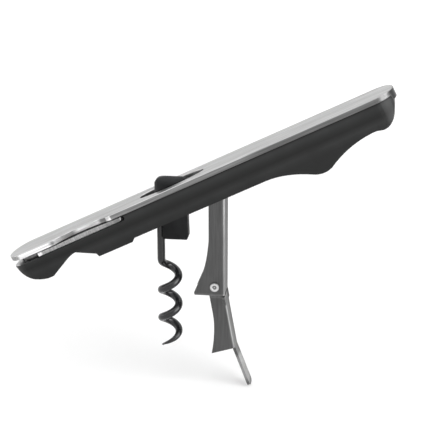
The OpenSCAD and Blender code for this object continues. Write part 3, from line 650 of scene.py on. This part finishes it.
# bevel weight 1 for the convex edges between an outer side face and a face across it, 0 for the rest. Each
# edge of a closed mesh has two faces, and it is convex where the cross product of their normals runs along
# the edge in the first face
def weighOuterEdges(mesh, size):
    points = valuesOf(mesh.vertices, "co", 3)
    ends = valuesOf(mesh.edges, "vertices", 2, np.int32)
    normals = valuesOf(mesh.polygons, "normal", 3)
    faceOf = np.repeat(np.arange(len(normals)), valuesOf(mesh.polygons, "loop_total", kind=np.int32))
    edgeOf = valuesOf(mesh.loops, "edge_index", kind=np.int32)
    first, second = np.argsort(edgeOf, kind="stable").reshape(-1, 2).T
    start = points[valuesOf(mesh.loops, "vertex_index", kind=np.int32)[first]]
    along = points[ends].sum(1) - 2 * start
    crossed = np.cross(normals[faceOf[first]], normals[faceOf[second]])
    convex = np.einsum("ij,ij->i", crossed, along) > 0
    across, side = np.sort(np.abs(normals[np.stack([faceOf[first], faceOf[second]]), 1]), axis=0)
    outer = np.abs(points[ends, 1]).min(1) > size["outerShare"] * np.abs(points[:, 1]).max()
    weight = convex & outer & (side > size["sideFacing"]) & (across < size["acrossFacing"])
    layer = mesh.attributes.new("bevel_weight_edge", "FLOAT", "EDGE")
    layer.data.foreach_set("value", weight.astype(np.float32))


# softened copies, one dictionary each: a bevel's width and steps, and what refits the shape
softRule = dict(merge=1e-6, flatAngle=math.radians(0.4), sharpAngle=math.radians(32))
leverSoft = dict(node="upper_lever", name="leverSoft", body="lever", slot="lever_steel", width=0.14, steps=3,
                 refit=lowerWeb, notchTop=2.7, notchTo=0.4, reach=0.03)
footSoft = dict(node="lever_foot", name="footSoft", body="foot", slot="lever_steel", width=0.14, steps=3,
                refit=squareTongue, splay=math.radians(10.2), bend=math.radians(10.5), rootX=2.57,
                rootZ=-21.8, long=14.4, half=2.3, square=4, clear=0.01)
bladeSoft = dict(node="foil_blade", name="bladeSoft", body="blade", slot="blade_steel", width=0.12, steps=2)
carrierSoft = dict(node="worm_carrier", name="carrierSoft", body="worm_unit", slot="carrier_black",
                   width=0.25, steps=3, outerShare=0.8, sideFacing=0.8, acrossFacing=0.35)
gripSoft = dict(node="grip_body", name="gripSoft", body="handle", slot="grip_black")
softPieces = (leverSoft, footSoft, bladeSoft, carrierSoft, gripSoft)


# a copy of a node's mesh: points merged, flat faces joined, refitted where that is given, and its edges
# rounded by a bevel at sharp angles or by weights; without a width it is only shaded sharp by angle
def softCopy(size):
    mesh = nodes[size["node"]].data.copy()
    mesh.name = size["name"]
    shape = bmesh.new()
    shape.from_mesh(mesh)
    bmesh.ops.remove_doubles(shape, verts=shape.verts, dist=softRule["merge"])
    bmesh.ops.dissolve_limit(shape, angle_limit=softRule["flatAngle"], verts=shape.verts, edges=shape.edges)
    shape.to_mesh(mesh)
    shape.free()
    weighed = "outerShare" in size
    if weighed:
        weighOuterEdges(mesh, size)
    if "refit" in size:
        points = size["refit"](valuesOf(mesh.vertices, "co", 3).astype(float) / mm, size) * mm
        mesh.vertices.foreach_set("co", points.astype(np.float32).ravel())
        mesh.update()
    mesh.shade_smooth()
    piece = addPiece(size["name"], mesh, size["body"], size["node"])
    if "width" not in size:
        mesh.set_sharp_from_angle(angle=softRule["sharpAngle"])
        return
    soft = piece.modifiers.new("soft", "BEVEL")
    soft.width = size["width"] * mm
    soft.segments = size["steps"]
    soft.limit_method = "WEIGHT" if weighed else "ANGLE"
    soft.angle_limit = softRule["sharpAngle"]
    soft.harden_normals = True


for sizes in softPieces:
    softCopy(sizes)
print("stage 6: softened pieces", len(softPieces))

# studio, in metres: a pale floor, backdrop and world that show white to the eye and in reflections without
# lighting the object more; a glow is its strength at the near and the far reach
studio = dict(floorGap=0.0005, floorHalf=60.0, backHalf=2.0, backY=1.6, backHigh=2.4, white=0.86, rough=0.9,
              specular=0.1, floorGlow=(0.16, 1.0), backGlow=(0.62, 0.62), glowReach=(0.25, 1.2),
              world=0.3, worldSeen=1.0)
lamps = (
    dict(name="topSoft", place=(0.05, -0.1, 0.9), size=(1.6, 1.4), power=6.5),
    dict(name="leftSoft", place=(-0.9, -0.1, 0.45), size=(1.0, 1.2), power=3.5),
    dict(name="rightSoft", place=(0.78, -0.46, 0.3), size=(0.9, 0.9), power=11.0))
view = dict(distance=0.420, azimuth=7.714, elevation=19.109, focalPixels=1343.02, imagePixels=430,
            sensor=36.0, aim=(0.014477, 0, 0.02558), clip=(0.01, 100))


# 1 for camera, glossy and transmission rays and 0 for the rest: the highest of the three
def seenRays(tree):
    ray = addNode(tree, "ShaderNodeLightPath")
    seen = maths(tree, "MAXIMUM", ray.outputs["Is Camera Ray"], ray.outputs["Is Glossy Ray"])
    return maths(tree, "MAXIMUM", seen, ray.outputs["Is Transmission Ray"])


# pale paint that glows for seen rays alone, by the distance from the origin
def paleMaterial(name, look, glow):
    mat, tree, shader = newMaterial(name)
    shader.inputs["Base Color"].default_value = (*grey(look["white"]), 1)
    shader.inputs["Roughness"].default_value = look["rough"]
    shader.inputs["Specular IOR Level"].default_value = look["specular"]
    shader.inputs["Emission Color"].default_value = (*grey(1), 1)
    strength = spread(tree, lengthOf(tree, turnedCoords(tree)), *glow, *look["glowReach"])
    tree.links.new(maths(tree, "MULTIPLY", seenRays(tree), strength), shader.inputs["Emission Strength"])
    return mat


# a flat sheet of the stage between two opposite corners, level or upright
def addSheet(name, low, high, mat):
    corners = [low, (high[0], low[1], low[2]), high, (low[0], high[1], high[2])]
    mesh = bpy.data.meshes.new(name)
    mesh.from_pydata(corners, [], [(0, 1, 2, 3)])
    mesh.materials.append(mat)
    sheet = bpy.data.objects.new(name, mesh)
    scene.collection.objects.link(sheet)


# the turn that points an object's -Z from its place to an aim, with its Y upwards
def lookAt(place, aim):
    return (Vector(aim) - Vector(place)).to_track_quat("-Z", "Y").to_euler()


# a rectangular lamp at its place, turned to an aim
def addLamp(look, aim):
    data = bpy.data.lights.new(look["name"], "AREA")
    data.shape = "RECTANGLE"
    data.size, data.size_y = look["size"]
    data.energy = look["power"]
    lamp = bpy.data.objects.new(look["name"], data)
    scene.collection.objects.link(lamp)
    lamp.location = look["place"]
    lamp.rotation_euler = lookAt(look["place"], aim)


floorZ = cadBox[0][2] - studio["floorGap"]
half, wide, backY = studio["floorHalf"], studio["backHalf"], studio["backY"]
floorPale = paleMaterial("floorPale", studio, studio["floorGlow"])
backPale = paleMaterial("backPale", studio, studio["backGlow"])
addSheet("floor", (-half, -half, floorZ), (half, half, floorZ), floorPale)
addSheet("backdrop", (-wide, backY, floorZ), (wide, backY, studio["backHigh"]), backPale)

world = bpy.data.worlds.new("studioWorld")
world.use_nodes = True
skyTree = world.node_tree
sky = skyTree.nodes["Background"]
sky.inputs["Color"].default_value = (*grey(1), 1)
skyStrength = spread(skyTree, seenRays(skyTree), studio["world"], studio["worldSeen"], 0, 1)
skyTree.links.new(skyStrength, sky.inputs["Strength"])
scene.world = world
for lampLook in lamps:
    addLamp(lampLook, view["aim"])

# camera: back from its aim by the distance, along the direction of azimuth and elevation
turn, rise = math.radians(view["azimuth"]), math.radians(view["elevation"])
back = np.array([math.sin(turn) * math.cos(rise), -math.cos(turn) * math.cos(rise), math.sin(rise)])
lens = bpy.data.cameras.new("camera")
lens.sensor_width = view["sensor"]
lens.lens = view["focalPixels"] * view["sensor"] / view["imagePixels"]
lens.clip_start, lens.clip_end = view["clip"]
camera = bpy.data.objects.new("camera", lens)
scene.collection.objects.link(camera)
camera.location = tuple(np.array(view["aim"]) + view["distance"] * back)
camera.rotation_euler = lookAt(camera.location, view["aim"])
scene.camera = camera
scene.view_settings.view_transform = "Standard"
print("stage 7: studio and camera set")
